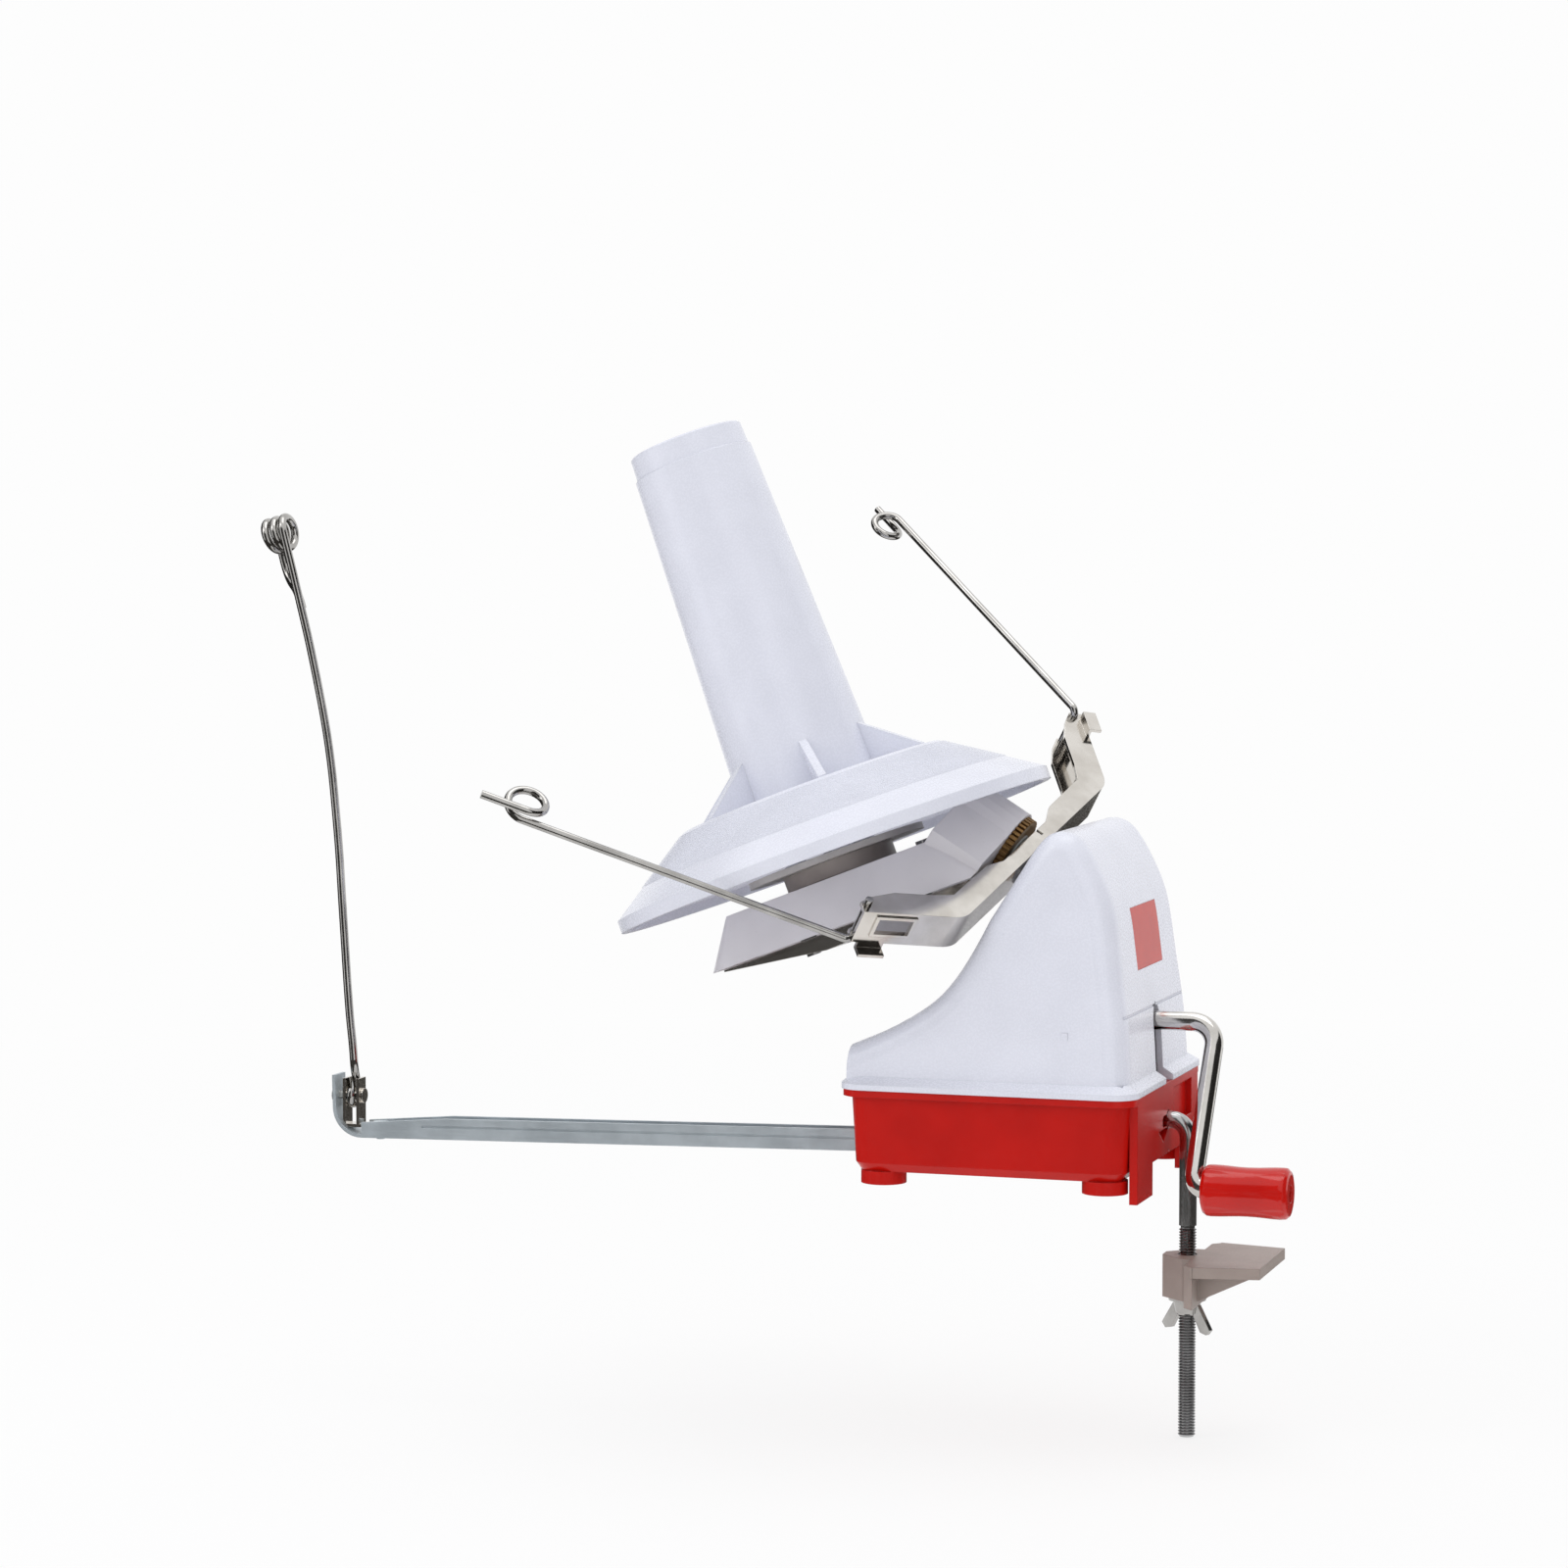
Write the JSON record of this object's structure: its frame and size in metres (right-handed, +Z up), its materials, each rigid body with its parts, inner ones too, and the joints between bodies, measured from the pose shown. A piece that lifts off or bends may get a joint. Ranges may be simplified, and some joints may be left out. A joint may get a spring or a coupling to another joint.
{
  "type": "yarn ball winder",
  "caption": "Hand-cranked yarn ball winder with a whirling wire flyer, a leaning spool on a ridged flange, a yarn guide mast and a table clamp.",
  "frame": {"origin": "centre of the base on the plane of its feet", "axes": "+X towards the crank and the clamp, -Y towards the side that the camera sees, +Z up"},
  "size_m": [0.3892, 0.2534, 0.3498],
  "materials": {
    "white_shell": "glossy",
    "red_shell": "glossy",
    "nickel": "polished",
    "zinc": "satin",
    "gear_plastic": "satin",
    "casting": "cast",
    "jaw_metal": "satin",
    "grey_plastic": "satin",
    "bronze": "satin",
    "steel": "satin"
  },
  "bodies": {
    "body": {"base_tray": "red_shell", "upper_housing": "white_shell", "badge": "red_shell", "housing_screws": "steel", "arm_clip": "zinc", "arm_clip_screws": "steel", "gear_frame": "casting", "frame_screws": "steel", "crank_bush": "bronze", "flyer_bush": "bronze", "head_tube": "steel", "head_tube_nut": "steel", "head_casting": "casting", "idler_pin": "steel", "neck_collar": "bronze", "hood": "white_shell", "hood_screws": "steel", "pan": "nickel", "pan_screws": "steel"},
    "crank": {"crank_rod": "nickel", "crank_gear_large": "gear_plastic", "crank_gear_small": "gear_plastic", "crank_gear_pins": "steel", "crank_clip": "steel", "knob_screw": "nickel"},
    "knob": {"crank_knob": "red_shell"},
    "flyer": {"flyer_tube": "steel", "flyer_pinion": "gear_plastic", "flyer_yoke": "nickel"},
    "near_arm": {"wire_arm_near": "nickel"},
    "far_arm": {"wire_arm_far": "nickel"},
    "drive": {"drive_shaft": "steel", "drive_gear": "gear_plastic", "head_bevel": "steel"},
    "lay": {"lay_shaft": "steel", "lay_bevel": "steel", "lay_pinion": "steel"},
    "idler": {"idler_gear": "gear_plastic"},
    "spool": {"spool_wheel": "gear_plastic", "spool_spindle": "steel", "spindle_clip": "steel", "spool_flange": "white_shell", "spool_tube": "white_shell", "spool_disc": "grey_plastic", "spool_hub": "grey_plastic", "hub_screws": "steel", "spool_nut": "steel"},
    "guide": {"guide_arm": "zinc", "mast_bracket": "zinc", "mast_pin": "nickel", "bracket_rivet": "zinc"},
    "mast": {"mast_wire": "nickel"},
    "rod": {"clamp_rod": "zinc"},
    "washer": {"washer": "zinc"},
    "jaw": {"clamp_jaw": "jaw_metal"},
    "wing_nut": {"wing_nut": "zinc"}
  },
  "joints": [
    {"name": "crank_turn", "type": "hinge", "parent": "body", "child": "crank", "pos_m": [0, 0, 0.0536], "axis": [1, 0, 0], "continuous": true},
    {"name": "knob_spin", "type": "hinge", "parent": "crank", "child": "knob", "pos_m": [0.0866, -0.0278, 0.0002], "axis": [1, 0, 0], "continuous": true},
    {"name": "flyer_spin", "type": "hinge", "parent": "body", "child": "flyer", "pos_m": [0.0015, 0, 0.1063], "axis": [-0.8499, 0, 0.527], "continuous": true},
    {"name": "near_arm_fold", "type": "hinge", "parent": "flyer", "child": "near_arm", "pos_m": [-0.03881, -0.06995, 0.09203], "axis": [0.4756, -0.4305, 0.7671], "range_deg": [0, 70]},
    {"name": "far_arm_fold", "type": "hinge", "parent": "flyer", "child": "far_arm", "pos_m": [-0.00364, 0.06995, 0.14875], "axis": [-0.4756, 0.4305, -0.7671], "range_deg": [0, 70]},
    {"name": "drive_spin", "type": "hinge", "parent": "body", "child": "drive", "pos_m": [0.0015, 0, 0.1063], "axis": [-0.8499, 0, 0.527], "continuous": true},
    {"name": "lay_spin", "type": "hinge", "parent": "body", "child": "lay", "pos_m": [-0.0213, 0, 0.12546], "axis": [-0.3592, 0, 0.9333], "continuous": true},
    {"name": "idler_spin", "type": "hinge", "parent": "body", "child": "idler", "pos_m": [-0.0367, 0, 0.11953], "axis": [-0.3592, 0, 0.9333], "continuous": true},
    {"name": "spool_spin", "type": "hinge", "parent": "body", "child": "spool", "pos_m": [-0.0689, 0, 0.10714], "axis": [-0.3592, 0, 0.9333], "continuous": true},
    {"name": "guide_arm_slide", "type": "slide", "parent": "body", "child": "guide", "axis": [-0.9998, 0, -0.0209], "range_m": [0, 0.03]},
    {"name": "mast_fold", "type": "hinge", "parent": "guide", "child": "mast", "pos_m": [-0.2535, 0, 0.015], "axis": [1, 0, 0], "range_deg": [-30, 90]},
    {"name": "clamp_rod_swing", "type": "hinge", "parent": "body", "child": "rod", "pos_m": [0.0473, 0, 0.0195], "axis": [1, 0, 0], "range_deg": [-20, 20]},
    {"name": "jaw_slide", "type": "slide", "parent": "rod", "child": "washer", "axis": [0, 0, 1], "range_m": [-0.034, 0.008]},
    {"name": "jaw_swivel", "type": "hinge", "parent": "washer", "child": "jaw", "pos_m": [0.0576, 0, -0.034], "axis": [0, 0, 1], "continuous": true},
    {"name": "wing_nut_turn", "type": "hinge", "parent": "washer", "child": "wing_nut", "pos_m": [0.0576, 0, -0.0451], "axis": [0, 0, 1], "range_deg": [-12250, 2890]}
  ],
  "couplings": [
    {"joint": "flyer_spin", "follows": "crank_turn", "ratio": 3},
    {"joint": "drive_spin", "follows": "crank_turn", "ratio": 2.4},
    {"joint": "lay_spin", "follows": "crank_turn", "ratio": -2.4},
    {"joint": "idler_spin", "follows": "crank_turn", "ratio": 1.3714},
    {"joint": "spool_spin", "follows": "crank_turn", "ratio": -0.6},
    {"joint": "wing_nut_turn", "follows": "jaw_slide", "rad_per_m": 6283.2}
  ]
}
